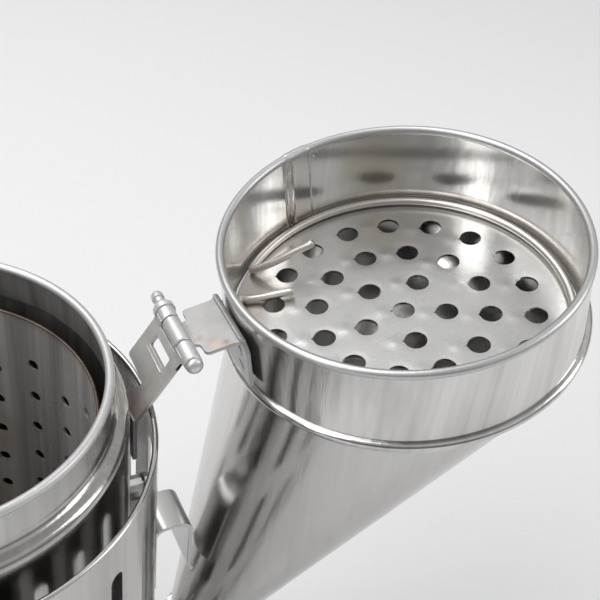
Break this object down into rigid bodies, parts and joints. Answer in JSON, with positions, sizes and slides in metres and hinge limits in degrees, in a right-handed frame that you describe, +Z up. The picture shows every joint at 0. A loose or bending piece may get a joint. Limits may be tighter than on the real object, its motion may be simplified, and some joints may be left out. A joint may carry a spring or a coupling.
{
  "type": "bee smoker",
  "caption": "Steel bee smoker with its hinged funnel lid open: fire chamber with perforated inner canister, slotted heat guard, spark plate, and wood and leather bellows.",
  "frame": {"origin": "centre of the chamber's base, on the surface that the smoker stands on", "axes": "+Z up; +X towards the lid's hinge, which is the side away from the bellows; +Y to the left as seen from the bellows"},
  "size_m": [0.32, 0.115, 0.2061],
  "materials": {
    "polished_steel": "polished stainless sheet",
    "satin_steel": "satin",
    "sooted_steel": "dark with soot",
    "hinge_steel": "dull, heat-tinted",
    "bellows_wood": "clear varnish",
    "bellows_leather": "smooth, pleated"
  },
  "bodies": {
    "chamber": {"fire_chamber": "polished_steel", "chamber_base": "polished_steel", "air_inlet_tube": "satin_steel", "heat_guard": "polished_steel", "guard_spacer_1": "satin_steel", "guard_spacer_2": "satin_steel", "guard_spacer_3": "satin_steel", "guard_spacer_4": "satin_steel", "guard_spacer_5": "satin_steel", "guard_spacer_6": "satin_steel", "guard_rivet_1": "satin_steel", "guard_rivet_2": "satin_steel", "guard_rivet_3": "satin_steel", "guard_rivet_4": "satin_steel", "guard_rivet_5": "satin_steel", "guard_rivet_6": "satin_steel", "hanging_hook": "satin_steel", "chamber_hinge_leaf": "hinge_steel", "hinge_pin": "satin_steel", "bellows_bracket_upper": "satin_steel", "bellows_bracket_lower": "satin_steel", "bracket_rivet_upper": "satin_steel", "bracket_rivet_lower": "satin_steel", "bracket_screw_upper_left": "satin_steel", "bracket_screw_upper_right": "satin_steel", "bracket_screw_lower_left": "satin_steel", "bracket_screw_lower_right": "satin_steel", "bellows_front_board": "bellows_wood", "front_binding": "satin_steel", "bellows_leather": "bellows_leather", "bellows_spring": "satin_steel"},
    "canister": {"canister_wall": "sooted_steel", "canister_floor": "sooted_steel", "canister_leg_1": "sooted_steel", "canister_leg_2": "sooted_steel", "canister_leg_3": "sooted_steel"},
    "lid": {"lid_collar": "polished_steel", "lid_cone": "polished_steel", "lid_spout": "polished_steel", "lid_hinge_leaf": "hinge_steel", "lid_lift_tab": "satin_steel"},
    "screen": {"spark_plate": "satin_steel", "snap_ring": "polished_steel"},
    "rear_board": {"bellows_rear_board": "bellows_wood", "rear_binding": "satin_steel"}
  },
  "joints": [
    {"name": "lid_hinge", "type": "hinge", "parent": "chamber", "child": "lid", "pos_m": [0.0655, 0, 0.18], "axis": [0, -1, 0], "range_deg": [0, 170]},
    {"name": "canister_lift", "type": "slide", "parent": "chamber", "child": "canister", "axis": [0, 0, -1], "range_m": [-0.01, 0]},
    {"name": "screen_lift", "type": "slide", "parent": "lid", "child": "screen", "axis": [0.1736, 0, -0.9848], "range_m": [-0.008, 0]},
    {"name": "bellows_press", "type": "hinge", "parent": "chamber", "child": "rear_board", "pos_m": [-0.084, 0, 0.02], "axis": [0, 1, 0], "range_deg": [0, 14], "stiffness_Nm_per_rad": 4, "springref_deg": -8.59, "deforming": ["bellows_leather", "bellows_spring"]}
  ]
}
